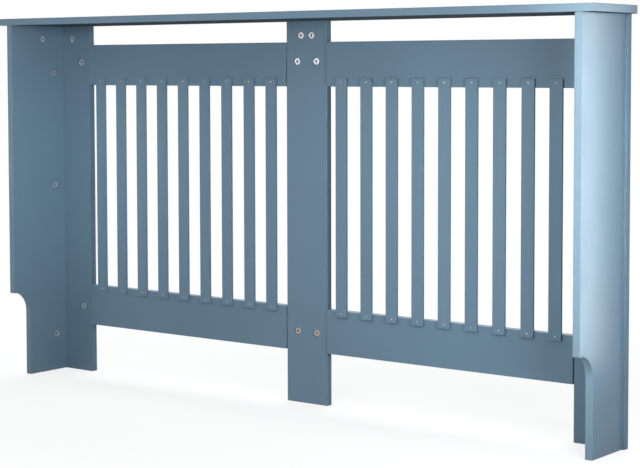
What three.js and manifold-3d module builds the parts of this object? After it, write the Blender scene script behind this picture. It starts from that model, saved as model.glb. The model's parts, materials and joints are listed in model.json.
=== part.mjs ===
// Radiator cover cabinet: a free-standing cover of painted MDF boards that stands over a radiator
// with its open back to the wall. Every joint between two boards is a cam fitting, a round zinc cam
// turned with a screwdriver from the back of the cabinet, which pulls on the head of a steel bolt.
// Millimetres, Z up. The origin is on the floor under the middle of the shelf. The front faces -Y,
// the wall is on the +Y side and +X is to the right as seen from the front.

import * as THREE from 'three';
import { mergeVertices } from 'three/addons/utils/BufferGeometryUtils.js';
import Module from 'manifold-3d';

const wasm = await Module();
wasm.setup();

// Overall sizes
const overallHeight = 815;
const shelfLength = 1520;
const shelfDepth = 190;
const shelfCornerRadius = 42; // the two front corners in plan

// Boards
const boardThickness = 15; // shelf, side panels, stiles and post
const railThickness = 18; // flush with the stiles in front, proud of them behind
const boardArris = 1; // small chamfer round both faces of every board

// Carcass
const panelDepth = 160; // side panel, from the wall to the back of the stile
const shelfEndOverhang = 20; // shelf beyond the outer edge of a stile
const stileLedge = 5; // stile beyond the outer face of a side panel
const stileWidth = 106;
const postWidth = 106;

// Rails
const railHeight = 92;
const ventGap = 43.5; // open slot between shelf and top rail
const underRailGap = 110.5; // floor to the bottom rail

// Cut-out at the rear foot of each side panel, for a skirting board and pipes
const cutoutDepth = 48;
const cutoutHeight = 192;
const cutoutRadius = 43;

// Slats of one grille, counted from its right end as seen from the front
const slatCount = 9;
const slatWidth = 28;
const slatThickness = 5;
const slatArris = 0.6;
const firstSlatInset = 42; // end of the rail to the middle of the first slat
const lastSlatInset = 37.5; // middle of the last slat to the other end of the rail
const lastSlatShift = 2.5; // the last slat stands this much nearer to its neighbour
const slatTopOverlap = 17.5; // slat on the back of the top rail
const slatBottomOverlap = 12.5;

// Cam fittings: the cam sits in a blind bore and its axis is square to the board
const fitClearance = 0.3;
const camDiameter = 14.6;
const camHeight = 11.7;
const camRecess = 0.7; // face of the cam below the face of the board
const camWebThickness = 1.3; // floor of the cam under the bolt head
const camTurn = 180; // degrees from locked to open
const crossLength = 8;
const crossWidth = 1.6;
const crossDepth = 2.2;
const headDiameter = 6.4;
const headStart = 1.6; // cam axis to the tip of the bolt head
const headLength = 2.4;
const neckDiameter = 4;
const neckEnd = 8.4; // cam axis to the start of the bolt's thick shank
const shankDiameter = 7;
const threadDiameter = 5;
const threadLength = 11;

// Places of the cams
const camSetback = 28; // from the end of the rail, or from the front edge of a side panel
const shelfCamDrop = 29.5; // below the underside of the shelf
const railCamInset = 40; // from the top of the top rail and from the bottom of the bottom rail
const stileShelfCamInset = 48.5; // from the outer edge of the stile
const panelShelfCamInset = 63; // from the front edge of the side panel
const postShelfCams = [-12, 15.5]; // either side of the middle of the post
const panelCamDrops = { upper: 107.5, middle: 367 }; // below the underside of the shelf
const lowerPanelCamHeight = 84.5; // above the floor

// Round shapes are made with this many sides
const camSides = 20;
const cavitySides = 12;
const boltSides = 10;
const cornerSegments = 8; // arcs of an outline

// Places worked out from the sizes
const shelfUnderside = overallHeight - boardThickness;
const wallFace = shelfDepth / 2;
const stileBack = wallFace - panelDepth;
const stileFront = stileBack - boardThickness;
const railBack = stileFront + railThickness;
const stileOuter = shelfLength / 2 - shelfEndOverhang;
const stileInner = stileOuter - stileWidth;
const panelOuter = stileOuter - stileLedge;
const postEdge = postWidth / 2;
const railLength = stileInner - postEdge;
const slatSpan = railLength - firstSlatInset - lastSlatInset;
const slatPitch = (slatSpan + lastSlatShift) / (slatCount - 1);
const topRailBottom = shelfUnderside - ventGap - railHeight;
const bottomRailTop = underRailGap + railHeight;
const topRailCamHeight = topRailBottom + railHeight - railCamInset;
const bottomRailCamHeight = underRailGap + railCamInset;
const shelfCamHeight = shelfUnderside - shelfCamDrop;
const panelCamHeights = {
  upper: shelfUnderside - panelCamDrops.upper,
  middle: shelfUnderside - panelCamDrops.middle,
  lower: lowerPanelCamHeight,
};
const boltDepth = boardThickness / 2; // bolt axis below the face with the cams
const camRadius = camDiameter / 2;
const boreRadius = camRadius + fitClearance;
const boreDepth = camRecess + camHeight + fitClearance;
const headRadius = headDiameter / 2;
const boltHoleRadius = shankDiameter / 2 + fitClearance;
const threadHoleRadius = threadDiameter / 2 + fitClearance;
const threadHoleDepth = threadLength + fitClearance;

// Directions
const alongX = new THREE.Vector3(1, 0, 0);
const alongY = new THREE.Vector3(0, 1, 0);
const alongZ = new THREE.Vector3(0, 0, 1);
const opposite = (direction) => direction.clone().negate();

// Materials
const paint = () => new THREE.MeshStandardMaterial({ color: 0x5d7890, roughness: 0.45, metalness: 0 });
const zinc = () => new THREE.MeshStandardMaterial({ color: 0xc9cccf, roughness: 0.35, metalness: 1 });
const steel = () => new THREE.MeshStandardMaterial({ color: 0xb8bcc0, roughness: 0.3, metalness: 1 });

// A three.js geometry as a closed solid that can be cut and joined
function toSolid(geometry) {
  geometry.deleteAttribute('normal');
  geometry.deleteAttribute('uv');
  const merged = mergeVertices(geometry, 1e-4);
  const vertProperties = new Float32Array(merged.attributes.position.array);
  const triVerts = new Uint32Array(merged.index.array);
  return new wasm.Manifold(new wasm.Mesh({ numProp: 3, vertProperties, triVerts }));
}

function toMesh(solid, name, material) {
  const { vertProperties, triVerts } = solid.getMesh();
  const geometry = new THREE.BufferGeometry();
  geometry.setAttribute('position', new THREE.BufferAttribute(vertProperties, 3));
  geometry.setIndex(new THREE.BufferAttribute(triVerts, 1));
  geometry.computeVertexNormals();
  const mesh = new THREE.Mesh(geometry, material);
  mesh.name = name;
  return mesh;
}

function rectangle(width, height) {
  const shape = new THREE.Shape();
  shape.moveTo(-width / 2, 0);
  shape.lineTo(width / 2, 0);
  shape.lineTo(width / 2, height);
  shape.lineTo(-width / 2, height);
  return shape;
}

// An outline made into a board with a chamfer round both faces. The board lies on z = 0.
function boardGeometry(outline, thickness, arris) {
  const geometry = new THREE.ExtrudeGeometry(outline, {
    depth: thickness - 2 * arris,
    bevelEnabled: true,
    bevelThickness: arris,
    bevelSize: arris,
    bevelOffset: -arris,
    bevelSegments: 1,
    curveSegments: cornerSegments,
  });
  return geometry.translate(0, 0, arris);
}

// Upright boards: the outline's x runs along X with the back face at y = 0 ...
function frontBoard(outline, thickness, arris) {
  const geometry = boardGeometry(outline, thickness, arris);
  const stand = new THREE.Matrix4().makeBasis(alongX, alongZ, opposite(alongY));
  return toSolid(geometry.applyMatrix4(stand));
}

// ... or along Y with the board between x = 0 and its thickness
function sideBoard(outline, thickness, arris) {
  const geometry = boardGeometry(outline, thickness, arris);
  const stand = new THREE.Matrix4().makeBasis(alongY, alongZ, alongX);
  return toSolid(geometry.applyMatrix4(stand));
}

// A round bar from a point along a direction
function bar(start, direction, length, radius, sides) {
  const geometry = new THREE.CylinderGeometry(radius, radius, length, sides);
  geometry.translate(0, length / 2, 0);
  geometry.applyQuaternion(new THREE.Quaternion().setFromUnitVectors(alongY, direction));
  return toSolid(geometry.translate(start.x, start.y, start.z));
}

// Cuts the blind bore for a cam into a face, and the hole for its bolt out to the board's edge.
// outward points out of the face at the middle of the cam, boltWay from the cam to the edge.
function cutCamSeat(board, faceCentre, outward, boltWay, edgeDistance) {
  const mouth = faceCentre.clone().add(outward);
  const bore = bar(mouth, opposite(outward), boreDepth + 1, boreRadius, camSides);
  const axis = faceCentre.clone().addScaledVector(outward, -boltDepth);
  const hole = bar(axis, boltWay, edgeDistance + 1, boltHoleRadius, boltSides);
  return board.subtract(bore).subtract(hole);
}

// Cuts the blind hole for the thread of a bolt into a face
function cutThreadHole(board, faceCentre, inward) {
  const mouth = faceCentre.clone().sub(inward);
  return board.subtract(bar(mouth, inward, threadHoleDepth + 1, threadHoleRadius, boltSides));
}

// The bolt that screws into one board and is held by the cam in the other. It lies along +X with
// the cam's axis at x = 0, and its shoulder bears on the board that it screws into.
function boltSolid(shoulder) {
  const outline = [
    [0, headStart],
    [headRadius, headStart],
    [headRadius, headStart + headLength],
    [neckDiameter / 2, headStart + headLength],
    [neckDiameter / 2, neckEnd],
    [shankDiameter / 2, neckEnd],
    [shankDiameter / 2, shoulder],
    [threadDiameter / 2, shoulder],
    [threadDiameter / 2, shoulder + threadLength],
    [0, shoulder + threadLength],
  ].map(([radius, along]) => new THREE.Vector2(radius, along));
  const geometry = new THREE.LatheGeometry(outline, boltSides);
  return toSolid(geometry.rotateZ(-Math.PI / 2));
}

// The zinc cam. Its axis is Z, its face looks along +Z and the bolt's axis is X at z = 0. The
// bolt's head stands in a round chamber, its neck runs in a slot in the rim, and the head can
// leave by a round door at the open end of the slot.
function camSolid() {
  const face = boltDepth - camRecess;
  const foot = face - camHeight;
  const chamberTop = -foot - camWebThickness;
  const headReach = Math.hypot(headStart + headLength, headRadius);
  const chamberRadius = (headReach + fitClearance) / Math.cos(Math.PI / cavitySides);
  const body = bar(new THREE.Vector3(0, 0, foot), alongZ, camHeight, camRadius, camSides);
  const floor = new THREE.Vector3(0, 0, -chamberTop);
  const chamber = bar(floor, alongZ, 2 * chamberTop, chamberRadius, cavitySides);

  const slotHalf = neckDiameter / 2 + fitClearance;
  const slotReach = camRadius + 1;
  const spread = Math.asin(slotHalf / chamberRadius);
  const open = THREE.MathUtils.degToRad(camTurn);
  const sector = new THREE.Shape();
  sector.moveTo(0, 0);
  sector.absarc(0, 0, slotReach, -open - spread, spread, false);
  const slotGeometry = new THREE.ExtrudeGeometry(sector, {
    depth: 2 * slotHalf,
    bevelEnabled: false,
    curveSegments: cornerSegments,
  });
  const slot = toSolid(slotGeometry.translate(0, 0, -slotHalf));

  const doorWay = new THREE.Vector3(Math.cos(open), -Math.sin(open), 0);
  const door = bar(new THREE.Vector3(), doorWay, slotReach, headRadius + fitClearance, boltSides);

  let cam = body.subtract(chamber).subtract(slot).subtract(door);
  for (const [long, wide] of [[crossLength, crossWidth], [crossWidth, crossLength]]) {
    const arm = new THREE.BoxGeometry(long, wide, 2 * crossDepth);
    cam = cam.subtract(toSolid(arm.translate(0, 0, face)));
  }
  return cam;
}

// The driving dimensions above give every cam fitting as a cam in one board and a bolt that
// reaches the next one. Rails carry their own bolts, so those fittings list no bolt of their own.
function fittings() {
  const list = [];
  for (const [side, sign] of [['left', -1], ['right', 1]]) {
    const inward = new THREE.Vector3(-sign, 0, 0);
    const panelFace = sign * (panelOuter - boardThickness);
    list.push({
      name: `panel_${side}_shelf`,
      at: new THREE.Vector3(panelFace, stileBack + panelShelfCamInset, shelfCamHeight),
      outward: inward,
      boltWay: alongZ,
      reach: shelfCamDrop,
      ownBolt: true,
    });
    for (const [level, height] of Object.entries(panelCamHeights)) {
      list.push({
        name: `panel_${side}_${level}`,
        at: new THREE.Vector3(panelFace, stileBack + camSetback, height),
        outward: inward,
        boltWay: opposite(alongY),
        reach: camSetback,
        ownBolt: true,
      });
    }
    list.push({
      name: `stile_${side}_shelf`,
      at: new THREE.Vector3(sign * (stileOuter - stileShelfCamInset), stileBack, shelfCamHeight),
      outward: alongY,
      boltWay: alongZ,
      reach: shelfCamDrop,
      ownBolt: true,
    });
    list.push({
      name: `post_${side}_shelf`,
      at: new THREE.Vector3(postShelfCams[(sign + 1) / 2], stileBack, shelfCamHeight),
      outward: alongY,
      boltWay: alongZ,
      reach: shelfCamDrop,
      ownBolt: true,
    });
    for (const [rail, height] of [['top_rail', topRailCamHeight], ['bottom_rail', bottomRailCamHeight]]) {
      list.push({
        name: `stile_${side}_${rail}`,
        at: new THREE.Vector3(sign * (stileInner + camSetback), stileBack, height),
        outward: alongY,
        boltWay: inward,
        reach: camSetback,
        ownBolt: false,
      });
      list.push({
        name: `post_${side}_${rail}`,
        at: new THREE.Vector3(sign * (postEdge - camSetback), stileBack, height),
        outward: alongY,
        boltWay: opposite(inward),
        reach: camSetback,
        ownBolt: false,
      });
    }
  }
  return list;
}

const allFittings = fittings();

// Cuts the seats of the cams whose names start with a word, in a board placed at an origin
function cutSeats(board, word, origin) {
  for (const fitting of allFittings.filter(({ name }) => name.startsWith(word))) {
    const { at, outward, boltWay, reach } = fitting;
    board = cutCamSeat(board, at.clone().sub(origin), outward, boltWay, reach);
  }
  return board;
}

// Where a bolt's shoulder meets the board that it screws into
function shoulderPoint({ at, outward, boltWay, reach }) {
  return at.clone().addScaledVector(outward, -boltDepth).addScaledVector(boltWay, reach);
}

function topShelf() {
  const corner = shelfCornerRadius;
  const halfLength = shelfLength / 2;
  const halfDepth = shelfDepth / 2;
  const outline = new THREE.Shape();
  outline.moveTo(halfLength, halfDepth);
  outline.lineTo(-halfLength, halfDepth);
  outline.lineTo(-halfLength, -halfDepth + corner);
  outline.absarc(-halfLength + corner, -halfDepth + corner, corner, Math.PI, 1.5 * Math.PI, false);
  outline.absarc(halfLength - corner, -halfDepth + corner, corner, 1.5 * Math.PI, 2 * Math.PI, false);
  const origin = new THREE.Vector3(0, 0, shelfUnderside);
  let solid = toSolid(boardGeometry(outline, boardThickness, boardArris));
  for (const fitting of allFittings.filter(({ boltWay }) => boltWay === alongZ)) {
    solid = cutThreadHole(solid, shoulderPoint(fitting).sub(origin), alongZ);
  }
  const mesh = toMesh(solid, 'top_shelf', paint());
  mesh.position.copy(origin);
  return mesh;
}

function sidePanel(side, sign) {
  const outline = new THREE.Shape();
  const rear = wallFace;
  const footRear = rear - cutoutDepth;
  outline.moveTo(stileBack, 0);
  outline.lineTo(footRear, 0);
  outline.lineTo(footRear, cutoutHeight - cutoutRadius);
  const centreY = footRear + cutoutRadius;
  outline.absarc(centreY, cutoutHeight - cutoutRadius, cutoutRadius, Math.PI, Math.PI / 2, true);
  outline.lineTo(rear, cutoutHeight);
  outline.lineTo(rear, shelfUnderside);
  outline.lineTo(stileBack, shelfUnderside);
  const origin = new THREE.Vector3(sign > 0 ? panelOuter - boardThickness : -panelOuter, 0, 0);
  const blank = sideBoard(outline, boardThickness, boardArris);
  const mesh = toMesh(cutSeats(blank, `panel_${side}`, origin), `side_panel_${side}`, paint());
  mesh.position.copy(origin);
  return mesh;
}

function cornerStile(side, sign) {
  const origin = new THREE.Vector3((sign * (stileInner + stileOuter)) / 2, stileBack, 0);
  const blank = frontBoard(rectangle(stileWidth, shelfUnderside), boardThickness, boardArris);
  let solid = cutSeats(blank, `stile_${side}`, origin);
  for (const level of Object.keys(panelCamHeights)) {
    const fitting = allFittings.find(({ name }) => name === `panel_${side}_${level}`);
    solid = cutThreadHole(solid, shoulderPoint(fitting).sub(origin), opposite(alongY));
  }
  const mesh = toMesh(solid, `corner_stile_${side}`, paint());
  mesh.position.copy(origin);
  return mesh;
}

function centrePost() {
  const origin = new THREE.Vector3(0, stileBack, 0);
  const blank = frontBoard(rectangle(postWidth, shelfUnderside), boardThickness, boardArris);
  const mesh = toMesh(cutSeats(blank, 'post_', origin), 'centre_post', paint());
  mesh.position.copy(origin);
  return mesh;
}

// A rail with the two bolts that are screwed into its ends
function rail(name, bottom, boltHeight) {
  let solid = frontBoard(rectangle(railLength, railHeight), railThickness, boardArris);
  const boltY = stileBack - boltDepth - railBack;
  for (const sign of [-1, 1]) {
    const turn = sign > 0 ? new THREE.Matrix4().makeRotationZ(Math.PI) : new THREE.Matrix4();
    const { vertProperties, triVerts } = boltSolid(camSetback).getMesh();
    const bolt = new THREE.BufferGeometry();
    bolt.setAttribute('position', new THREE.BufferAttribute(vertProperties, 3));
    bolt.setIndex(new THREE.BufferAttribute(triVerts, 1));
    bolt.applyMatrix4(turn);
    bolt.translate(sign * (railLength / 2 + camSetback), boltY, boltHeight - bottom);
    solid = solid.add(toSolid(bolt));
  }
  const mesh = toMesh(solid, name, paint());
  mesh.position.set(0, railBack, bottom);
  return mesh;
}

function slat(name, offset) {
  const bottom = bottomRailTop - slatBottomOverlap;
  const length = topRailBottom + slatTopOverlap - bottom;
  const solid = frontBoard(rectangle(slatWidth, length), slatThickness, slatArris);
  const mesh = toMesh(solid, name, paint());
  mesh.position.set(offset, railBack + slatThickness, bottom);
  return mesh;
}

// Two rails and the slats pinned to their backs, as one group between post and stile
function grille(side, sign) {
  const group = new THREE.Group();
  group.position.x = (sign * (stileInner + postEdge)) / 2;
  group.add(rail(`top_rail_${side}`, topRailBottom, topRailCamHeight));
  group.add(rail(`bottom_rail_${side}`, underRailGap, bottomRailCamHeight));
  for (let index = 0; index < slatCount; index++) {
    const shift = index === slatCount - 1 ? lastSlatShift : 0;
    const fromRight = firstSlatInset + index * slatPitch - shift;
    group.add(slat(`slat_${side}_${index + 1}`, railLength / 2 - fromRight));
  }
  return group;
}

// A cam and its bolt, turned so that the cam faces out of its board and the bolt points across
function camFitting({ name, at, outward, boltWay, reach, ownBolt }) {
  const group = new THREE.Group();
  const across = new THREE.Vector3().crossVectors(outward, boltWay);
  group.quaternion.setFromRotationMatrix(new THREE.Matrix4().makeBasis(boltWay, across, outward));
  group.position.copy(at).addScaledVector(outward, -boltDepth);
  group.add(toMesh(camSolid(), `cam_${name}`, zinc()));
  if (ownBolt) {
    group.add(toMesh(boltSolid(reach), `bolt_${name}`, steel()));
  }
  return group;
}

const cabinet = new THREE.Group();
cabinet.add(topShelf());
cabinet.add(centrePost());
for (const [side, sign] of [['left', -1], ['right', 1]]) {
  cabinet.add(sidePanel(side, sign));
  cabinet.add(cornerStile(side, sign));
  cabinet.add(grille(side, sign));
}
for (const fitting of allFittings) {
  cabinet.add(camFitting(fitting));
}

export default cabinet;
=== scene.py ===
import json
from math import cos, pi, radians, sin

import bmesh
import bpy
from mathutils import Matrix, Vector


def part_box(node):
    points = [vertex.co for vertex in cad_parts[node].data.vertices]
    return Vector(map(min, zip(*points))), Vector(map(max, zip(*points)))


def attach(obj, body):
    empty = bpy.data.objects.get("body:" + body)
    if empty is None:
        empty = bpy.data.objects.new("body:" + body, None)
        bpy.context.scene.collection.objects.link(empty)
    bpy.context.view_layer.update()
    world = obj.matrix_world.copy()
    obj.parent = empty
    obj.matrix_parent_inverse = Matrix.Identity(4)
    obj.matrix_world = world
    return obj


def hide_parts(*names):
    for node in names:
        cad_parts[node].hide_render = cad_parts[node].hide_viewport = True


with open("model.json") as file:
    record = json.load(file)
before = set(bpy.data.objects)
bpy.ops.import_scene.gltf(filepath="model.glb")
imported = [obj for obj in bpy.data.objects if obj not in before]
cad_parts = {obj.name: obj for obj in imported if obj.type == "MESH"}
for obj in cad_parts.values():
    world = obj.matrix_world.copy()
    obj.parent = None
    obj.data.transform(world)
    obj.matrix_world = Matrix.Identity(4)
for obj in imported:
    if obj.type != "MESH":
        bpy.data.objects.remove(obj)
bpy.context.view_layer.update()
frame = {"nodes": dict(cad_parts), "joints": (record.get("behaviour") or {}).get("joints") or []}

mm = 0.001
up = Vector((0, 0, 1))
toFront = Vector((0, -1, 0))


# Camera, as the photograph was taken: from behind the cabinet, near its left end, with a long lens
cameraSettings = {
    "place": (-2.2073, 2.7515, 0.7019),  # metres
    "heading": -142.357,  # degrees round Z, 0 looks along +Y
    "tilt": -3.38,  # degrees above the horizon
    "roll": -0.11,
    "lens": 96.76,  # on a 36 mm wide sensor
    "shiftY": -0.10,
}


def makeCamera(settings):
    data = bpy.data.cameras.new("photoCamera")
    data.lens = settings["lens"]
    data.sensor_width = 36
    data.shift_y = settings["shiftY"]
    camera = bpy.data.objects.new("photoCamera", data)
    turn = Matrix.Rotation(radians(settings["heading"]), 4, "Z")
    turn = turn @ Matrix.Rotation(radians(90 + settings["tilt"]), 4, "X")
    turn = turn @ Matrix.Rotation(radians(settings["roll"]), 4, "Z")
    camera.matrix_world = Matrix.Translation(settings["place"]) @ turn
    bpy.context.scene.collection.objects.link(camera)
    bpy.context.scene.camera = camera


makeCamera(cameraSettings)


# Studio: soft boxes, an even sky and a pale floor
studioSettings = {
    "sky": 0.05,  # brightness of the even light from all round
    "floorSize": 14.0,
    "floorColour": (0.86, 0.87, 0.88),
    "floorBounce": (0.30, 0.31, 0.32),  # what the floor throws back on the cabinet
    "floorLift": 0.78,  # share of plain white in what the camera sees of the floor near the cabinet
    "floorFade": (0.9, 1.9),  # metres from the middle between which the floor turns plain white
}
softBoxes = {        # places and sizes in metres; spread in degrees and tint only where a box has them
    "sideLeft": {
        "place": (-1.3, 0.5, 0.62), "aim": (-0.73, 0.05, 0.46), "size": (0.35, 0.7), "watts": 8.6,
    },
    "rearLow": {
        "place": (-0.35, 1.7, 0.75), "aim": (0, 0, 0.45), "size": (0.8, 0.6), "watts": 15.5,
    },
    "rearRight": {
        "place": (1.8, 2.2, 2.2), "aim": (0, 0, 0.4), "size": (2.0, 2.0), "watts": 20,
    },
    "over": {
        "place": (-0.8, 1.2, 2.2), "aim": (-0.2, 0, 0.4), "size": (1.3, 1.3), "watts": 13,
    },
    "front": {
        "place": (0.3, -2.2, 2.75), "aim": (0, 0, 0.4), "size": (2.4, 1.6), "watts": 58,
    },
    "frontRight": {
        "place": (1.7, -1.8, 2.75), "aim": (0, 0, 0.4), "size": (2.4, 1.6), "watts": 56,
    },
    "sideRight": {
        "place": (2.1, 0.1, 0.45), "aim": (0.76, 0, 0.42), "size": (0.9, 0.6), "watts": 8,
    },
    "farEnd": {
        "place": (-0.6, 1.6, 0.9), "aim": (0.74, 0.02, 0.5), "size": (0.4, 0.4), "watts": 0.36,
        "spread": 25,
    },
    "endFill": {
        "place": (-0.90, 0.17, 0.45), "aim": (-0.735, 0.08, 0.43), "size": (0.1, 0.66), "watts": 0.33,
        "spread": 120,
    },
    "endSheen": {
        "place": (-0.929, -0.255, 0.50), "aim": (-0.766, 0.110, 0.52), "size": (0.05, 0.75),
        "watts": 0.135, "spread": 44, "tint": (0.92, 1.0, 1.0),
    },
    "edgeSheen": {
        "place": (-0.38, 0.75, 0.62), "aim": (-0.73, 0.095, 0.55), "size": (0.12, 0.9), "watts": 0.22,
        "spread": 25,
    },
    "ledgeLine": {
        "place": (-0.90, 1.0, 0.62), "aim": (-0.742, 0.0, 0.56), "size": (0.12, 0.55), "watts": 0.07,
        "spread": 14,
    },
}


def makeSoftBox(name, box):
    data = bpy.data.lights.new(name, "AREA")
    data.shape = "RECTANGLE"
    data.size, data.size_y = box["size"]
    data.energy = box["watts"]
    data.spread = radians(box.get("spread", 180))
    data.color = box.get("tint", (1, 1, 1))
    light = bpy.data.objects.new(name, data)
    light.location = box["place"]
    way = Vector(box["aim"]) - Vector(box["place"])
    light.rotation_euler = way.to_track_quat("-Z", "Y").to_euler()
    light.visible_camera = False
    bpy.context.scene.collection.objects.link(light)


def addNode(tree, kind, **settings):
    node = tree.nodes.new(kind)
    for name, value in settings.items():
        setattr(node, name, value)
    return node


def join(tree, *pairs):
    for start, end in pairs:
        tree.links.new(start, end)


def backgroundRays(tree):        # 1 for rays that may show the plain white background
    path = addNode(tree, "ShaderNodeLightPath")
    shine = addNode(tree, "ShaderNodeMath", operation="MAXIMUM")
    seen = addNode(tree, "ShaderNodeMath", operation="MAXIMUM")
    join(
        tree,
        (path.outputs["Is Glossy Ray"], shine.inputs[0]),
        (path.outputs["Is Transmission Ray"], shine.inputs[1]),
        (path.outputs["Is Camera Ray"], seen.inputs[0]),
        (shine.outputs[0], seen.inputs[1]),
    )
    return seen.outputs[0]


def makeWorld(settings):
    world = bpy.data.worlds.new("studio")
    world.use_nodes = True
    tree = world.node_tree
    tree.nodes.clear()
    sky = addNode(tree, "ShaderNodeBackground")
    sky.inputs["Strength"].default_value = settings["sky"]
    white = addNode(tree, "ShaderNodeBackground")
    mix = addNode(tree, "ShaderNodeMixShader")
    out = addNode(tree, "ShaderNodeOutputWorld")
    for node in (sky, white):
        node.inputs["Color"].default_value = (1, 1, 1, 1)
    join(
        tree,
        (backgroundRays(tree), mix.inputs[0]),
        (sky.outputs[0], mix.inputs[1]),
        (white.outputs[0], mix.inputs[2]),
        (mix.outputs[0], out.inputs["Surface"]),
    )
    bpy.context.scene.world = world


def floorMaterial(settings):        # pale paper that keeps the shadow and fades to white further out
    paper = bpy.data.materials.new("floorPaper")
    paper.use_nodes = True
    tree = paper.node_tree
    tree.nodes.clear()
    path = addNode(tree, "ShaderNodeLightPath")
    tone = addNode(tree, "ShaderNodeMix", data_type="RGBA")
    matt = addNode(tree, "ShaderNodeBsdfDiffuse")
    lift = addNode(tree, "ShaderNodeEmission")
    share = addNode(tree, "ShaderNodeMath", operation="MULTIPLY")
    place = addNode(tree, "ShaderNodeTexCoord")
    distance = addNode(tree, "ShaderNodeVectorMath", operation="LENGTH")
    fade = addNode(tree, "ShaderNodeMapRange", interpolation_type="SMOOTHSTEP")
    fade.inputs["From Min"].default_value, fade.inputs["From Max"].default_value = settings["floorFade"]
    fade.inputs["To Min"].default_value = settings["floorLift"]
    mix = addNode(tree, "ShaderNodeMixShader")
    out = addNode(tree, "ShaderNodeOutputMaterial")
    tone.inputs["A"].default_value = (*settings["floorBounce"], 1)
    tone.inputs["B"].default_value = (*settings["floorColour"], 1)
    lift.inputs["Color"].default_value = (1, 1, 1, 1)
    join(
        tree,
        (path.outputs["Is Camera Ray"], tone.inputs["Factor"]),
        (tone.outputs["Result"], matt.inputs["Color"]),
        (place.outputs["Object"], distance.inputs[0]),
        (distance.outputs["Value"], fade.inputs["Value"]),
        (backgroundRays(tree), share.inputs[0]),
        (fade.outputs[0], share.inputs[1]),
        (share.outputs[0], mix.inputs[0]),
        (matt.outputs[0], mix.inputs[1]),
        (lift.outputs[0], mix.inputs[2]),
        (mix.outputs[0], out.inputs["Surface"]),
    )
    return paper


def makeFloor(settings):
    bm = bmesh.new()
    bmesh.ops.create_grid(bm, x_segments=1, y_segments=1, size=settings["floorSize"] / 2)
    mesh = bpy.data.meshes.new("studioFloor")
    bm.to_mesh(mesh)
    bm.free()
    mesh.materials.append(floorMaterial(settings))
    floor = bpy.data.objects.new("studioFloor", mesh)
    bpy.context.scene.collection.objects.link(floor)


makeWorld(studioSettings)
makeFloor(studioSettings)
for boxName, softBox in softBoxes.items():
    makeSoftBox(boxName, softBox)
bpy.context.scene.view_settings.view_transform = "Standard"
print("camera, soft boxes and floor are set")


# Finishes that more than one material uses are node groups. Their patterns, sized in cycles a metre:
coatPattern = {
    "cloudScale": 7.0,
    "driftScale": 55.0,  # slow waves under the orange peel
    "driftHeight": 0.8,
    "sheenScale": 26.0,
}
rubPattern = {
    "patchScale": 38.0,
    "patchRange": (0.25, 1.0),
    "smoother": 0.3,  # share of the roughness that rubbing takes away
}
fibrePattern = {
    "coarser": 0.2,  # scale of the coarse fibres, as a share of the fine ones
    "coarseHeight": 0.6,
    "heightRange": (0.5, 1.1),
}
metalPattern = {
    "stainScale": 260.0,
    "stainMost": 0.6,
    "stainRange": (0.45, 0.75),
    "scratchScale": 900.0,
    "scratchStretch": (1.0, 0.15, 3.0),
    "scratchHeight": 0.5,
}


def newGroup(name, inputs, outputs):
    group = bpy.data.node_groups.new(name, "ShaderNodeTree")
    for label, kind, value in inputs:
        socket = group.interface.new_socket(label, in_out="INPUT", socket_type=kind)
        socket.default_value = value
    for label, kind in outputs:
        group.interface.new_socket(label, in_out="OUTPUT", socket_type=kind)
    entry = addNode(group, "NodeGroupInput")
    leave = addNode(group, "NodeGroupOutput")
    return group, entry.outputs, leave.inputs


def noiseAt(tree, place, scale, detail=2.0, roughness=0.5, stretch=None):
    noise = addNode(tree, "ShaderNodeTexNoise")
    noise.inputs["Detail"].default_value = detail
    noise.inputs["Roughness"].default_value = roughness
    if stretch:
        mapping = addNode(tree, "ShaderNodeMapping")
        mapping.inputs["Scale"].default_value = stretch
        join(tree, (place, mapping.inputs["Vector"]))
        place = mapping.outputs["Vector"]
    join(tree, (place, noise.inputs["Vector"]))
    if isinstance(scale, (int, float)):
        noise.inputs["Scale"].default_value = scale
    else:
        join(tree, (scale, noise.inputs["Scale"]))
    return noise.outputs["Fac"]


def spread(tree, value, low, high, fromLow=0.3, fromHigh=0.7):        # moves noise to a new range
    remap = addNode(tree, "ShaderNodeMapRange")
    remap.inputs["From Min"].default_value = fromLow
    remap.inputs["From Max"].default_value = fromHigh
    join(tree, (value, remap.inputs["Value"]))
    for socket, end in ((remap.inputs["To Min"], low), (remap.inputs["To Max"], high)):
        if isinstance(end, (int, float)):
            socket.default_value = end
        else:
            join(tree, (end, socket))
    return remap.outputs["Result"]


def maths(tree, operation, first, second):
    node = addNode(tree, "ShaderNodeMath", operation=operation)
    for socket, value in zip(node.inputs, (first, second)):
        if isinstance(value, (int, float)):
            socket.default_value = value
        else:
            join(tree, (value, socket))
    return node.outputs[0]


def brighten(tree, colour, factor):        # a colour times a number that changes over the surface
    scale = addNode(tree, "ShaderNodeVectorMath", operation="SCALE")
    join(tree, (colour, scale.inputs[0]), (factor, scale.inputs["Scale"]))
    return scale.outputs["Vector"]


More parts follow.
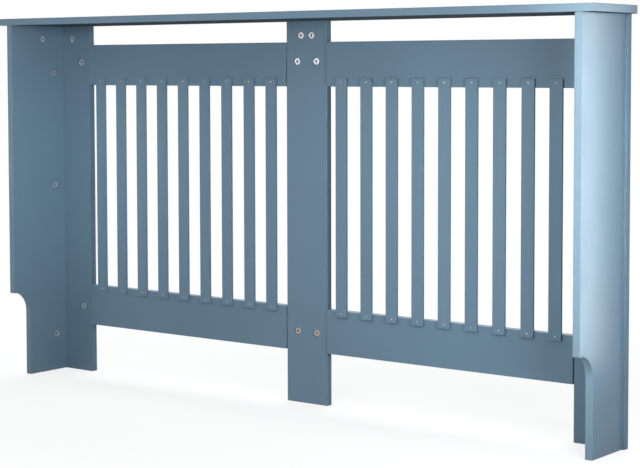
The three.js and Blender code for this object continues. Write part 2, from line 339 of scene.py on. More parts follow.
def sprayCoatGroup(pattern):        # sprayed paint: cloudy tone, orange peel and an uneven sheen
    group, given, made = newGroup(
        "sprayCoat",
        [
            ("Colour", "NodeSocketColor", (0.1, 0.2, 0.3, 1)),
            ("Cloud", "NodeSocketFloat", 0.03),
            ("Peel Scale", "NodeSocketFloat", 420.0),
            ("Sheen Low", "NodeSocketFloat", 0.36),
            ("Sheen High", "NodeSocketFloat", 0.46),
        ],
        [
            ("Colour", "NodeSocketColor"),
            ("Roughness", "NodeSocketFloat"),
            ("Height", "NodeSocketFloat"),
        ],
    )
    place = addNode(group, "ShaderNodeTexCoord").outputs["Object"]
    # boardTone scales a whole board's colour: painted shade on the stiles, painted light on the side
    # panels
    tone = addNode(group, "ShaderNodeAttribute", attribute_name="boardTone").outputs["Fac"]
    clouds = noiseAt(group, place, pattern["cloudScale"], detail=3.0)
    less = maths(group, "SUBTRACT", 1.0, given["Cloud"])
    more = maths(group, "ADD", 1.0, given["Cloud"])
    factor = maths(group, "MULTIPLY", spread(group, clouds, less, more), tone)
    peel = noiseAt(group, place, given["Peel Scale"], detail=1.0)
    drift = noiseAt(group, place, pattern["driftScale"], detail=2.0)
    height = maths(group, "ADD", peel, maths(group, "MULTIPLY", drift, pattern["driftHeight"]))
    wander = noiseAt(group, place, pattern["sheenScale"])
    sheen = spread(group, wander, given["Sheen Low"], given["Sheen High"])
    join(
        group,
        (brighten(group, given["Colour"], factor), made["Colour"]),
        (sheen, made["Roughness"]),
        (height, made["Height"]),
    )
    return group


def easedEdgeGroup(pattern):        # where an edge is eased the coat is thin and rubbed smoother
    group, given, made = newGroup(
        "easedEdge",
        [
            ("Colour", "NodeSocketColor", (0.1, 0.2, 0.3, 1)),
            ("Roughness", "NodeSocketFloat", 0.4),
            ("Rub", "NodeSocketFloat", 0.5),
            ("Lighter", "NodeSocketFloat", 1.3),
        ],
        [("Colour", "NodeSocketColor"), ("Roughness", "NodeSocketFloat"), ("Mask", "NodeSocketFloat")],
    )
    place = addNode(group, "ShaderNodeTexCoord").outputs["Object"]
    eased = addNode(group, "ShaderNodeAttribute", attribute_name="eased").outputs["Fac"]
    patches = noiseAt(group, place, pattern["patchScale"], detail=4.0, roughness=0.6)
    patchy = spread(group, patches, *pattern["patchRange"])
    mask = maths(group, "MULTIPLY", maths(group, "MULTIPLY", eased, patchy), given["Rub"])
    lighter = maths(group, "SUBTRACT", given["Lighter"], 1.0)
    factor = maths(group, "ADD", 1.0, maths(group, "MULTIPLY", mask, lighter))
    smoother = maths(group, "SUBTRACT", 1.0, maths(group, "MULTIPLY", mask, pattern["smoother"]))
    join(
        group,
        (brighten(group, given["Colour"], factor), made["Colour"]),
        (maths(group, "MULTIPLY", given["Roughness"], smoother), made["Roughness"]),
        (mask, made["Mask"]),
    )
    return group


def boardFibreGroup(pattern):        # fibres of the board, raised on a cut face
    group, given, made = newGroup(
        "boardFibre",
        [("Scale", "NodeSocketFloat", 900.0), ("Contrast", "NodeSocketFloat", 0.1)],
        [("Factor", "NodeSocketFloat"), ("Height", "NodeSocketFloat")],
    )
    place = addNode(group, "ShaderNodeTexCoord").outputs["Object"]
    fine = noiseAt(group, place, given["Scale"], detail=5.0, roughness=0.7)
    coarser = maths(group, "MULTIPLY", given["Scale"], pattern["coarser"])
    coarse = noiseAt(group, place, coarser, detail=3.0)
    height = maths(group, "ADD", fine, maths(group, "MULTIPLY", coarse, pattern["coarseHeight"]))
    less = maths(group, "SUBTRACT", 1.0, given["Contrast"])
    more = maths(group, "ADD", 1.0, given["Contrast"])
    join(
        group,
        (spread(group, height, less, more, *pattern["heightRange"]), made["Factor"]),
        (height, made["Height"]),
    )
    return group


def castMetalGroup(pattern):        # cast or plated metal: frosted grain, soft stains and fine scratches
    group, given, made = newGroup(
        "castMetal",
        [
            ("Colour", "NodeSocketColor", (0.8, 0.8, 0.8, 1)),
            ("Stain", "NodeSocketColor", (0.5, 0.5, 0.5, 1)),
            ("Grain Scale", "NodeSocketFloat", 2500.0),
            ("Smooth", "NodeSocketFloat", 0.22),
            ("Rough", "NodeSocketFloat", 0.42),
        ],
        [
            ("Colour", "NodeSocketColor"),
            ("Roughness", "NodeSocketFloat"),
            ("Height", "NodeSocketFloat"),
        ],
    )
    place = addNode(group, "ShaderNodeTexCoord").outputs["Object"]
    grain = noiseAt(group, place, given["Grain Scale"], detail=3.0, roughness=0.6)
    stains = noiseAt(group, place, pattern["stainScale"], detail=3.0)
    stained = spread(group, stains, 0.0, pattern["stainMost"], *pattern["stainRange"])
    scratch = noiseAt(group, place, pattern["scratchScale"], stretch=pattern["scratchStretch"])
    scratched = maths(group, "MULTIPLY", scratch, pattern["scratchHeight"])
    mix = addNode(group, "ShaderNodeMix", data_type="RGBA")
    join(
        group,
        (stained, mix.inputs["Factor"]),
        (given["Colour"], mix.inputs["A"]),
        (given["Stain"], mix.inputs["B"]),
        (mix.outputs["Result"], made["Colour"]),
        (spread(group, grain, given["Smooth"], given["Rough"]), made["Roughness"]),
        (maths(group, "ADD", grain, scratched), made["Height"]),
    )
    return group


sprayCoat = sprayCoatGroup(coatPattern)
easedEdge = easedEdgeGroup(rubPattern)
boardFibre = boardFibreGroup(fibrePattern)
castMetal = castMetalGroup(metalPattern)


def newMaterial(name):
    material = bpy.data.materials.new(name)
    material.use_nodes = True
    tree = material.node_tree
    tree.nodes.clear()
    shader = addNode(tree, "ShaderNodeBsdfPrincipled")
    out = addNode(tree, "ShaderNodeOutputMaterial")
    join(tree, (shader.outputs[0], out.inputs["Surface"]))
    return material, tree, shader.inputs


def placeGroup(tree, group, **values):        # one use of a node group, with its own values
    node = addNode(tree, "ShaderNodeGroup", node_tree=group)
    for label, value in values.items():
        node.inputs[label.replace("_", " ")].default_value = value
    return node


def addBump(tree, height, shader, depth):
    bump = addNode(tree, "ShaderNodeBump")
    bump.inputs["Strength"].default_value = 1.0
    bump.inputs["Distance"].default_value = depth
    join(tree, (height, bump.inputs["Height"]), (bump.outputs["Normal"], shader["Normal"]))


paintSettings = {
    "colour": (0.127, 0.207, 0.280),
    "cutEdgeColour": (0.124, 0.197, 0.258),
    "paintedShadeColour": (0.050, 0.072, 0.090),  # painted shade: a near-black coat under the shelf and on the cam bores' walls, where shade falls
    "cloud": 0.025,
    "peelScale": 420.0,
    "peelDepth": 0.00006,  # metres
    "fibreScale": 1100.0,
    "fibreDepth": 0.00008,
    "fibreContrast": 0.05,
    "sheen": (0.29, 0.35),  # lowest and highest roughness
    "cutEdgeSheen": (0.36, 0.45),
    "paintedShadeSheen": (0.80, 0.90),
    "gloss": 0.22,  # specular level
    "cutEdgeGloss": 0.20,
    "paintedShadeGloss": 0.05,
    "rub": 0.6,  # how much of an eased edge is rubbed
    "lighter": 1.05,  # and how much lighter it is there
}


def paintMaterial(name, colour, sheen, paint, isCut, gloss):
    material, tree, shader = newMaterial(name)
    shader["Specular IOR Level"].default_value = gloss
    coat = placeGroup(
        tree,
        sprayCoat,
        Colour=(*colour, 1),
        Cloud=paint["cloud"],
        Peel_Scale=paint["peelScale"],
        Sheen_Low=sheen[0],
        Sheen_High=sheen[1],
    )
    edge = placeGroup(tree, easedEdge, Rub=paint["rub"], Lighter=paint["lighter"])
    join(
        tree,
        (coat.outputs["Colour"], edge.inputs["Colour"]),
        (coat.outputs["Roughness"], edge.inputs["Roughness"]),
        (edge.outputs["Roughness"], shader["Roughness"]),
    )
    if isCut:
        fibre = placeGroup(tree, boardFibre, Scale=paint["fibreScale"], Contrast=paint["fibreContrast"])
        shaded = brighten(tree, edge.outputs["Colour"], fibre.outputs["Factor"])
        join(tree, (shaded, shader["Base Color"]))
        addBump(tree, fibre.outputs["Height"], shader, paint["fibreDepth"])
    else:
        join(tree, (edge.outputs["Colour"], shader["Base Color"]))
        addBump(tree, coat.outputs["Height"], shader, paint["peelDepth"])
    return material


coreSettings = {
    "colour": (0.30, 0.19, 0.105),
    "scale": 1400.0,
    "contrast": 0.45,
    "depth": 0.00015,
    "roughness": 0.92,
}


def coreMaterial(core):        # bare board inside the bores
    material, tree, shader = newMaterial("bareBoard")
    shader["Roughness"].default_value = core["roughness"]
    fibre = placeGroup(tree, boardFibre, Scale=core["scale"], Contrast=core["contrast"])
    tint = addNode(tree, "ShaderNodeCombineColor")
    for socket, value in zip(tint.inputs, core["colour"]):
        socket.default_value = value
    shaded = brighten(tree, tint.outputs[0], fibre.outputs["Factor"])
    join(tree, (shaded, shader["Base Color"]))
    addBump(tree, fibre.outputs["Height"], shader, core["depth"])
    return material


metalSettings = {
    "camZinc": {
        "colour": (0.74, 0.75, 0.77), "stain": (0.50, 0.51, 0.54), "sheen": (0.29, 0.45),
    },
    "camYellow": {
        "colour": (0.41, 0.38, 0.34), "stain": (0.36, 0.27, 0.19), "sheen": (0.30, 0.46),
    },
    "boltSteel": {
        "colour": (0.70, 0.71, 0.73), "stain": (0.42, 0.42, 0.43), "sheen": (0.28, 0.38),
    },
    "pinSteel": {
        "colour": (0.60, 0.61, 0.64), "stain": (0.38, 0.39, 0.42), "sheen": (0.30, 0.42),
    },
    # painted shade: the cams' cross and centre recesses are coloured dark where shade falls in them, the
    # yellow cams' with a yellow tint
    "shadedRecessZinc": {
        "colour": (0.16, 0.16, 0.17), "stain": (0.08, 0.08, 0.08), "sheen": (0.45, 0.60),
    },
    "shadedRecessYellow": {
        "colour": (0.34, 0.24, 0.16), "stain": (0.18, 0.12, 0.08), "sheen": (0.45, 0.60),
    },
}
metalGrainDepth = 0.00002        # metres


def metalMaterial(name, metal):
    material, tree, shader = newMaterial(name)
    shader["Metallic"].default_value = 1.0
    finish = placeGroup(
        tree,
        castMetal,
        Colour=(*metal["colour"], 1),
        Stain=(*metal["stain"], 1),
        Smooth=metal["sheen"][0],
        Rough=metal["sheen"][1],
    )
    join(
        tree,
        (finish.outputs["Colour"], shader["Base Color"]),
        (finish.outputs["Roughness"], shader["Roughness"]),
    )
    addBump(tree, finish.outputs["Height"], shader, metalGrainDepth)
    return material


def paintKind(name, colour, sheen, gloss, isCut=False):
    paint = paintSettings
    return paintMaterial(name, paint[colour], paint[sheen], paint, isCut, paint[gloss])


paintedFace = paintKind("paintedFace", "colour", "sheen", "gloss")
paintedCut = paintKind("paintedCut", "cutEdgeColour", "cutEdgeSheen", "cutEdgeGloss", isCut=True)
# a near-black paint that stands in for the shade under the shelf and inside the cam bores
paintedShade = paintKind("paintedShade", "paintedShadeColour", "paintedShadeSheen", "paintedShadeGloss")
bareBoard = coreMaterial(coreSettings)
metals = {name: metalMaterial(name, metal) for name, metal in metalSettings.items()}
print("paint, board and metal finishes are made")


# Shapes
edgeOn = 0.7        # faces whose normals lean less than this along a board's thickness are its edges
faceDown = -0.9        # faces whose normals point lower than this are its underside
shading = {"sharpAngle": 38, "weight": 60}        # degrees, and the pull of the larger faces


def addBar(bm, start, way, length, radius, sides, endRadius=None):        # a round bar along a direction
    turn = way.to_track_quat("Z", "Y").to_matrix().to_4x4()
    place = Matrix.Translation(start + way * (length / 2)) @ turn
    return bmesh.ops.create_cone(
        bm,
        cap_ends=True,
        segments=sides,
        radius1=radius,
        radius2=radius if endRadius is None else endRadius,
        depth=length,
        matrix=place,
    )["verts"]


def addBlock(bm, low, high):        # a block between two corners
    middle = (low + high) / 2
    size = high - low
    stretch = Matrix.Diagonal((*size, 1))
    return bmesh.ops.create_cube(bm, size=1, matrix=Matrix.Translation(middle) @ stretch)["verts"]


def bevelEdges(bm, edges, width, segments):
    return bmesh.ops.bevel(
        bm,
        geom=edges,
        offset=width,
        offset_type="OFFSET",
        segments=segments,
        profile=0.5,
        affect="EDGES",
        material=-1,
        clamp_overlap=True,
    )["faces"]


def easeEdges(bm, width, segments, sharp=0.6):        # rounds every edge that turns by more than sharp
    arris = bm.faces.layers.int.new("arris")
    edges = [edge for edge in bm.edges if edge.calc_face_angle(0) > sharp]
    for face in bevelEdges(bm, edges, width, segments):
        face[arris] = 1


def toObject(bm, name, materials):
    mesh = bpy.data.meshes.new(name)
    bm.to_mesh(mesh)
    bm.free()
    for material in materials:
        mesh.materials.append(material)
    piece = bpy.data.objects.new(name, mesh)
    bpy.context.scene.collection.objects.link(piece)
    return piece


def cutWith(piece, bm, material=None):        # takes the shapes in a bmesh out of a piece
    cutter = toObject(bm, "cutter", [material] if material else piece.data.materials[:1])
    change = piece.modifiers.new("cut", "BOOLEAN")
    change.operation = "DIFFERENCE"
    change.solver = "EXACT"
    change.object = cutter
    change.material_mode = "TRANSFER"
    view = bpy.context.evaluated_depsgraph_get()
    mesh = bpy.data.meshes.new_from_object(piece.evaluated_get(view), depsgraph=view)
    piece.modifiers.clear()
    old = piece.data
    piece.data = mesh
    mesh.name = old.name
    bpy.data.meshes.remove(old)
    bpy.data.meshes.remove(cutter.data)        # and the cutter with it
    return piece


def markSurface(piece, tone, thickness):        # a board's paint tone (painted shade on the stiles, painted light on the side panels), eased edges and cut faces
    mesh = piece.data
    bm = bmesh.new()
    bm.from_mesh(mesh)
    arris = bm.faces.layers.int.get("arris")
    eased = bm.verts.layers.float.new("eased")
    shade = bm.verts.layers.float.new("boardTone")
    for vert in bm.verts:
        vert[shade] = tone
        vert[eased] = float(all(face[arris] for face in vert.link_faces)) if arris else 0.0
    for face in bm.faces:
        face.smooth = True
        if face.material_index == 0 and abs(face.normal.dot(thickness)) < edgeOn:
            face.material_index = 1
    bm.to_mesh(mesh)
    bm.free()


def finishPiece(piece, body, slot, *nodes):
    piece.data.set_sharp_from_angle(angle=radians(shading["sharpAngle"]))
    smooth = piece.modifiers.new("evenShading", "WEIGHTED_NORMAL")
    smooth.keep_sharp = True
    smooth.weight = shading["weight"]
    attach(piece, body)
    if nodes:
        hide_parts(*nodes)
    return piece


# Boards. Each one fills the box of its CAD node, so only what the box doesn't say is given here.
boardSettings = {
    "ease": 0.0008,  # radius of the eased edges, metres
    "easeSteps": 3,
    "shelfCorner": 0.042,
    "cornerSteps": 18,
    "cutoutCorner": 0.043,
    "cutoutDepth": 0.048,
    "cutoutHeight": 0.192,
    "railLean": 0.0010,  # undercut at the back of a rail's ends, so that its joints close in front
}
tones = {        # brightness of each board's coat; the stiles' darker value is painted shade and the side panels' lighter value painted light, while the slats' differ at random
    "shelf": 1.0,
    "panel": 1.02,
    "stile": 0.93,
    "post": 1.0,
    "rail": 0.985,
    "slat": (1.02, 1.0, 1.03, 1.01, 1.035, 1.005, 1.025, 1.015, 1.0),
}
fittingSettings = {        # millimetres, as the cams and bolts are made
    "boltDepth": 7.5,
    "camRadius": 7.3,
    "camHeight": 11.7,
    "camRecess": 0.7,
    "boreRadius": 7.8,
    "boreDepth": 12.7,
    "boltHoleRadius": 3.8,
    "threadHoleRadius": 2.8,
    "threadHoleDepth": 11.3,
    "roundness": 48,
}


def boltWayOf(name):        # the way from a cam to the board that its bolt is screwed into
    if name.endswith("_shelf"):
        return up
    if "panel_" in name:
        return toFront
    side = -1 if "left" in name else 1
    return Vector((-side if "stile_" in name else side, 0, 0))


def edgeAlong(name, at, way):        # how far the edge of the board is from the cam, along the bolt
    if way == up:
        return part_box("top_shelf")[0].z - at.z
    if way == toFront:
        return at.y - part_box("corner_stile_left")[1].y
    if "post_" in name:
        low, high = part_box("centre_post")
    else:
        low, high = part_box("corner_stile_left" if "left" in name else "corner_stile_right")
    return high.x - at.x if way.x > 0 else at.x - low.x


fittings = {}
for joint in frame["joints"]:
    camName = joint["child"]
    at = Vector(joint["pos_m"])
    way = boltWayOf(camName)
    fittings[camName] = {
        "at": at,
        "outward": Vector(joint["axis"]),
        "way": way,
        "reach": edgeAlong(camName, at, way),
    }


def boltLine(cam, size):        # where the bolt's axis crosses that of its cam
    return cam["at"] - cam["outward"] * size["boltDepth"] * mm


def cutFittings(piece, cams, threads, size):        # bores for cams, holes for their bolts and threads
    holeSides = size["roundness"] // 2
    if cams:
        bores = bmesh.new()
        holes = bmesh.new()
        depth = (size["boreDepth"] + 1) * mm
        for cam in cams:
            start = cam["at"] + cam["outward"] * mm
            addBar(bores, start, -cam["outward"], depth, size["boreRadius"] * mm, size["roundness"])
            length = cam["reach"] + mm
            radius = size["boltHoleRadius"] * mm
            addBar(holes, boltLine(cam, size), cam["way"], length, radius, holeSides)
        # the cam bores' walls take the painted shade
        cutWith(piece, bores, paintedShade)
        cutWith(piece, holes, bareBoard)
    if threads:
        holes = bmesh.new()
        length = (size["threadHoleDepth"] + 1) * mm
        for cam in threads:
            start = boltLine(cam, size) + cam["way"] * (cam["reach"] - mm)
            addBar(holes, start, cam["way"], length, size["threadHoleRadius"] * mm, holeSides)
        cutWith(piece, holes, bareBoard)


def named(*words):        # the fittings whose cam's name holds all of the words
    return [fittings[name] for name in fittings if all(word in name for word in words)]


def makeShelf(settings):
    low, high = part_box("top_shelf")
    bm = bmesh.new()
    addBlock(bm, low, high)
    front = [
        edge for edge in bm.edges if all(abs(vert.co.y - low.y) < mm for vert in edge.verts)
        and abs(edge.verts[0].co.z - edge.verts[1].co.z) > mm
    ]
    bevelEdges(bm, front, settings["shelfCorner"], settings["cornerSteps"])
    easeEdges(bm, settings["ease"], settings["easeSteps"])
    piece = toObject(bm, "shelfBoard", [paintedFace, paintedCut, paintedShade])
    cutFittings(piece, [], named("_shelf"), fittingSettings)
    markSurface(piece, tones["shelf"], up)
    for face in piece.data.polygons:        # the underside gets the painted shade, far darker than the coat elsewhere
        if face.normal.z < faceDown and face.material_index == 0:
            face.material_index = 2
    finishPiece(piece, "carcass", "painted_mdf", "top_shelf")


def makeSidePanel(side, settings):
    node = "side_panel_" + side
    low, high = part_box(node)
    foot = high.y - settings["cutoutDepth"]
    outline = [
        (low.y, low.z),
        (foot, low.z),
        (foot, settings["cutoutHeight"]),
        (high.y, settings["cutoutHeight"]),
        (high.y, high.z),
        (low.y, high.z),
    ]
    bm = bmesh.new()
    face = bm.faces.new([bm.verts.new((low.x, y, z)) for y, z in outline])
    grown = bmesh.ops.extrude_face_region(bm, geom=[face])["geom"]
    moved = [item for item in grown if isinstance(item, bmesh.types.BMVert)]
    bmesh.ops.translate(bm, verts=moved, vec=(high.x - low.x, 0, 0))
    bmesh.ops.recalc_face_normals(bm, faces=bm.faces)
    corner = Vector((foot, settings["cutoutHeight"]))
    inner = [edge for edge in bm.edges if all((v.co.yz - corner).length < mm for v in edge.verts)]
    bevelEdges(bm, inner, settings["cutoutCorner"], settings["cornerSteps"])
    easeEdges(bm, settings["ease"], settings["easeSteps"])
    piece = toObject(bm, "sidePanel" + side.title(), [paintedFace, paintedCut])
    cutFittings(piece, named("panel_", side), [], fittingSettings)
    markSurface(piece, tones["panel"], Vector((1, 0, 0)))
    finishPiece(piece, "carcass", "painted_mdf", node)


def makeFrontBoard(name, node, tone, cams, threads, settings, skin=0.0, lean=0.0):
    low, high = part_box(node)
    low = low + Vector((skin, 0, 0))        # a rail's box also holds the bolts at its ends
    high = high - Vector((skin, 0, 0))
    bm = bmesh.new()
    for vert in addBlock(bm, low, high):
        if vert.co.y > low.y + mm:
            vert.co.x += lean if vert.co.x < (low.x + high.x) / 2 else -lean
    easeEdges(bm, settings["ease"], settings["easeSteps"])
    piece = toObject(bm, name, [paintedFace, paintedCut])
    cutFittings(piece, cams, threads, fittingSettings)
    markSurface(piece, tone, toFront)
    finishPiece(piece, "carcass", "painted_mdf", node)


makeShelf(boardSettings)
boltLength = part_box("top_rail_right")[1].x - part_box("corner_stile_right")[0].x
makeFrontBoard(
    "centrePost", "centre_post", tones["post"], named("post_"), [], boardSettings
)
for side in ("left", "right"):
    makeSidePanel(side, boardSettings)
    makeFrontBoard(
        "cornerStile" + side.title(),
        "corner_stile_" + side,
        tones["stile"],
        named("stile_", side),
        [cam for cam in named("panel_", side) if cam["way"] == toFront],
        boardSettings,
    )
    for level in ("top", "bottom"):
        makeFrontBoard(
            level + "Rail" + side.title(),
            level + "_rail_" + side,
            tones["rail"],
            [],
            [],
            boardSettings,
            skin=boltLength,
            lean=boardSettings["railLean"],
        )
print("shelf, panels, stiles, post and rails are made")


# Slats and the pins that hold them to the rails
slatSettings = {
    "ease": 0.0006,
    "easeSteps": 2,
    "pinInset": 0.008,  # middle of the pin from the end of the slat
    "pinRadius": 0.0012,
    "pinLength": 0.014,
    "pinTip": 0.6,  # radius at its point and on its crown, as shares of pinRadius
    "pinTop": 0.5,
    "pinCrown": 0.0003,  # how far the pin's head is domed
    "dimpleRadius": 0.0019,
    "dimpleDepth": 0.0006,
    "roundness": 16,
}


def makeSlat(side, index, settings):
    node = f"slat_{side}_{index + 1}"
    low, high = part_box(node)
    middle = (low.x + high.x) / 2
    levels = (high.z - settings["pinInset"], low.z + settings["pinInset"])
    pins = [Vector((middle, high.y, level)) for level in levels]
    bm = bmesh.new()
    addBlock(bm, low, high)
    easeEdges(bm, settings["ease"], settings["easeSteps"])
    piece = toObject(bm, f"slat{side.title()}{index + 1}", [paintedFace, paintedCut])
    depth = settings["dimpleDepth"]
    floor = settings["pinRadius"]
    mouth = 2 * settings["dimpleRadius"] - floor        # as wide as the cone is one depth above the face
    sides = settings["roundness"]
    dimples = bmesh.new()
    for pin in pins:
        addBar(dimples, pin - toFront * depth, toFront, 2 * depth, mouth, sides, floor)
    cutWith(piece, dimples)
    markSurface(piece, tones["slat"][index], toFront)
    finishPiece(piece, "carcass", "painted_mdf", node)
    return pins


def makePins(name, places, settings):        # the pins along one rail
    bm = bmesh.new()
    radius = settings["pinRadius"]
    tip = radius * settings["pinTip"]
    top = radius * settings["pinTop"]
    sides = settings["roundness"]
    height = settings["pinCrown"] * 0.99        # a hair short of the shank, so that the two stay apart
    for place in places:
        head = place + toFront * settings["dimpleDepth"]
        crown = head - toFront * settings["pinCrown"]
        addBar(bm, head, toFront, settings["pinLength"], radius, sides, tip)
        addBar(bm, crown, toFront, height, top, sides, radius)
    piece = toObject(bm, name, [metals["pinSteel"]])
    for face in piece.data.polygons:
        face.use_smooth = True
    finishPiece(piece, "carcass", "steel_bolt")


for side in ("left", "right"):
    pinPlaces = [makeSlat(side, index, slatSettings) for index in range(len(tones["slat"]))]
    makePins("pinsTop" + side.title(), [pair[0] for pair in pinPlaces], slatSettings)
    makePins("pinsBottom" + side.title(), [pair[1] for pair in pinPlaces], slatSettings)
print("slats and pins are made")


# Cams and their bolts, made once each along Z and X and then put in place
camSettings = {        # millimetres, beside the sizes in fittingSettings
    "rimBevel": 0.8,
    "dishRadius": 6.0,
    "dishSlope": 0.3,  # how far the dish's wall leans in and out from that radius
    "dishDepth": 0.35,
    "crossLength": 8.4,
    "crossWidth": 2.1,
    "crossDepth": 2.4,
    "crossTaper": 0.7,
    "centreRadius": 2.4,
    "centreTip": 0.4,
    "centreDepth": 2.7,
    "arrowRadius": 1.2,
    "arrowPlace": 4.7,
    "arrowDepth": 0.4,
    "arrowTurn": 90,  # degrees, so that it points at the door
    "chamberRadius": 5.42,
    "chamberHalf": 3.6,
    "slotHalf": 2.3,
    "slotSpread": 25,  # degrees that the slot runs past each end of its half turn
    "slotSteps": 40,
    "doorRadius": 3.5,
    "doorSides": 32,
}
boltSettings = {        # millimetres along the bolt from the cam's axis
    "headStart": 1.6,
    "headEnd": 4.0,
    "headRadius": 3.2,
    "headRound": 0.7,
    "neckRadius": 2.0,
    "neckEnd": 8.4,
    "shankRadius": 3.5,
    "shankChamfer": 0.5,
    "threadRadius": 2.5,
    "threadDepth": 0.55,
    "threadStart": 0.6,  # beyond the shoulder
    "threadPitch": 2.2,
    "threadFlank": 1.6,  # how steeply the groove falls to its full depth
    "threadLength": 11.0,
    "threadTip": 1.5,
    "tipShare": 0.65,  # radius at the end of the thread, as a share of threadRadius
    "pointShare": 0.4,
    "threadRings": 55,
    "roundness": 28,
}
yellowCams = ("cam_post_left_bottom_rail", "cam_post_right_bottom_rail", "cam_stile_left_bottom_rail")


def sectorCutter(radius, half, fromAngle, toAngle, steps):        # a flat slice of a disc round Z
    bm = bmesh.new()
    inner = bm.verts.new((0, 0, -half))
    outer = bm.verts.new((radius * cos(fromAngle), radius * sin(fromAngle), -half))
    arm = bm.edges.new((inner, outer))
    bmesh.ops.spin(
        bm,
        geom=[inner, outer, arm],
        cent=(0, 0, 0),
        axis=(0, 0, 1),
        angle=toAngle - fromAngle,
        steps=steps,
    )
    bmesh.ops.remove_doubles(bm, verts=bm.verts, dist=1e-7)
    grown = bmesh.ops.extrude_face_region(bm, geom=bm.faces[:])["geom"]
    moved = [item for item in grown if isinstance(item, bmesh.types.BMVert)]
    bmesh.ops.translate(bm, verts=moved, vec=(0, 0, 2 * half))
    bmesh.ops.recalc_face_normals(bm, faces=bm.faces)
    return bm


def makeCamPattern(size, shape):
    face = (size["boltDepth"] - size["camRecess"]) * mm
    foot = Vector((0, 0, face - size["camHeight"] * mm))
    sides = size["roundness"]
    bm = bmesh.new()
    addBar(bm, foot, up, size["camHeight"] * mm, size["camRadius"] * mm, sides)
    rims = [edge for edge in bm.edges if edge.calc_face_angle(0) > 1]
    bevelEdges(bm, rims, shape["rimBevel"] * mm, 2)
    pattern = toObject(bm, "camPattern", [metals["camZinc"]])

    dish = bmesh.new()
    depth = shape["dishDepth"] * mm
    inner = (shape["dishRadius"] - shape["dishSlope"]) * mm
    outer = (shape["dishRadius"] + shape["dishSlope"]) * mm
    addBar(dish, Vector((0, 0, face - depth)), up, 2 * depth, inner, sides, outer)
    cutWith(pattern, dish)
    # the cross and centre recesses take the dark zinc that paints their shade
    arms = (shape["crossLength"], shape["crossWidth"])
    for long, wide in (arms, arms[::-1]):
        arm = bmesh.new()
        low = Vector((-long / 2, -wide / 2, -shape["crossDepth"])) * mm + Vector((0, 0, face))
        high = Vector((long / 2, wide / 2, 1)) * mm + Vector((0, 0, face))
        for vert in addBlock(arm, low, high):        # the recess narrows towards its floor
            if vert.co.z < face:
                vert.co.x *= shape["crossTaper"]
                vert.co.y *= shape["crossTaper"]
        cutWith(pattern, arm, metals["shadedRecessZinc"])
    centre = bmesh.new()
    deep = shape["centreDepth"] * mm
    tip = shape["centreTip"] * mm
    addBar(centre, Vector((0, 0, face - deep)), up, deep, tip, sides // 2, shape["centreRadius"] * mm)
    cutWith(pattern, centre, metals["shadedRecessZinc"])
    arrow = bmesh.new()
    deep = (shape["dishDepth"] + shape["arrowDepth"]) * mm
    start = Vector((-shape["arrowPlace"] * mm, 0, face - deep))
    corners = addBar(arrow, start, up, 2 * mm, shape["arrowRadius"] * mm, 3)
    turn = Matrix.Rotation(radians(shape["arrowTurn"]), 3, "Z")
    bmesh.ops.rotate(arrow, verts=corners, cent=start, matrix=turn)
    cutWith(pattern, arrow)

    inside = bmesh.new()
    half = shape["chamberHalf"] * mm
    addBar(inside, Vector((0, 0, -half)), up, 2 * half, shape["chamberRadius"] * mm, sides)
    cutWith(pattern, inside)
    past = radians(shape["slotSpread"])
    outside = (size["camRadius"] + 1) * mm
    slot = sectorCutter(outside, shape["slotHalf"] * mm, -pi - past, past, shape["slotSteps"])
    cutWith(pattern, slot)
    door = bmesh.new()
    middle = Vector((0, 0, 0))
    addBar(door, middle, Vector((-1, 0, 0)), outside, shape["doorRadius"] * mm, shape["doorSides"])
    cutWith(pattern, door)
    for face in pattern.data.polygons:
        face.use_smooth = True
    return pattern


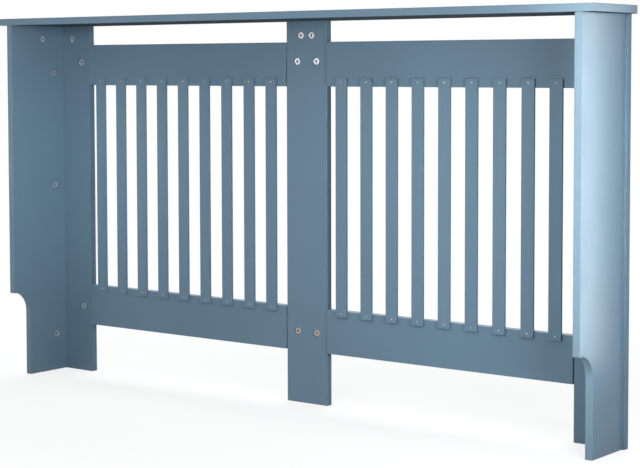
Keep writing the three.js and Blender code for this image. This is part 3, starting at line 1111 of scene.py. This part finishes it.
def makeBoltMesh(reach, shape):        # one bolt along X, with a rolled thread
    shoulder = reach / mm
    start = shoulder + shape["threadStart"]
    rings = shape["threadRings"]
    outline = [
        (shape["headStart"], 0),
        (shape["headStart"], shape["headRadius"] - shape["headRound"]),
        (shape["headStart"] + shape["headRound"], shape["headRadius"]),
        (shape["headEnd"], shape["headRadius"]),
        (shape["headEnd"], shape["neckRadius"]),
        (shape["neckEnd"], shape["neckRadius"]),
        (shape["neckEnd"], shape["shankRadius"] - shape["shankChamfer"]),
        (shape["neckEnd"] + shape["shankChamfer"], shape["shankRadius"]),
        (shoulder, shape["shankRadius"]),
        (shoulder, shape["threadRadius"] - shape["threadDepth"]),
    ]
    tip = shoulder + shape["threadLength"]
    for ring in range(rings):
        outline.append((start + (tip - start) * ring / rings, shape["threadRadius"]))
    outline += [(tip, shape["threadRadius"] * shape["pointShare"]), (tip, 0)]
    bm = bmesh.new()
    line = [bm.verts.new((along * mm, 0, radius * mm)) for along, radius in outline]
    edges = [bm.edges.new(pair) for pair in zip(line, line[1:])]
    bmesh.ops.spin(
        bm,
        geom=line + edges,
        cent=(0, 0, 0),
        axis=(1, 0, 0),
        angle=2 * pi,
        steps=shape["roundness"],
        use_merge=True,
    )
    bmesh.ops.remove_doubles(bm, verts=bm.verts, dist=1e-7)
    hair = 0.01        # millimetres
    tipShare = shape["tipShare"]
    for vert in bm.verts:        # the groove of the thread winds round the shaft
        along = vert.co.x / mm
        if along < start - hair or along > tip - hair:
            continue
        angle = Vector((1, 0)).angle_signed(Vector((vert.co.y, vert.co.z)))
        phase = ((along - start) / shape["threadPitch"] + angle / (2 * pi)) % 1.0
        groove = shape["threadDepth"] * min(1.0, abs(2 * phase - 1) * shape["threadFlank"])
        narrow = min(1.0, (tip - along) / shape["threadTip"]) * (1 - tipShare) + tipShare
        scale = (shape["threadRadius"] - groove) * narrow / shape["threadRadius"]
        vert.co.y *= scale
        vert.co.z *= scale
    bmesh.ops.recalc_face_normals(bm, faces=bm.faces)
    for face in bm.faces:
        face.smooth = True
    return bm


def seatOf(cam, size):        # turns a pattern to face out of its board with the bolt's way along X
    across = cam["outward"].cross(cam["way"])
    turn = Matrix((cam["way"], across, cam["outward"])).transposed().to_4x4()
    return Matrix.Translation(boltLine(cam, size)) @ turn


def makeCam(name, cam, pattern):
    mesh = pattern.data.copy()
    mesh.transform(seatOf(cam, fittingSettings))
    slot = "cam_zinc"
    if name in yellowCams:
        slot = "cam_zinc_yellow"
        mesh.materials[0] = metals["camYellow"]
        mesh.materials[1] = metals["shadedRecessYellow"]
    piece = bpy.data.objects.new(name.replace("cam_", "zinc_"), mesh)
    bpy.context.scene.collection.objects.link(piece)
    finishPiece(piece, name, slot, name)


def makeBolts(name, cams, nodes):
    bm = bmesh.new()
    for cam in cams:
        single = makeBoltMesh(cam["reach"], boltSettings)
        single.transform(seatOf(cam, fittingSettings))
        part = bpy.data.meshes.new("bolt")
        single.to_mesh(part)
        single.free()
        bm.from_mesh(part)
        bpy.data.meshes.remove(part)
    piece = toObject(bm, name, [metals["boltSteel"]])
    finishPiece(piece, "carcass", "steel_bolt", *nodes)


camPattern = makeCamPattern(fittingSettings, camSettings)
for name, cam in fittings.items():
    makeCam(name, cam, camPattern)
    node = name.replace("cam_", "bolt_")
    if node in frame["nodes"]:
        makeBolts(node.replace("bolt_", "steel_bolt_"), [cam], [node])
for side in ("left", "right"):
    for level in ("top", "bottom"):
        makeBolts(f"steel_bolts_{level}_rail_{side}", named(side, level + "_rail"), [])
bpy.data.meshes.remove(camPattern.data)
print("cams and bolts are made")
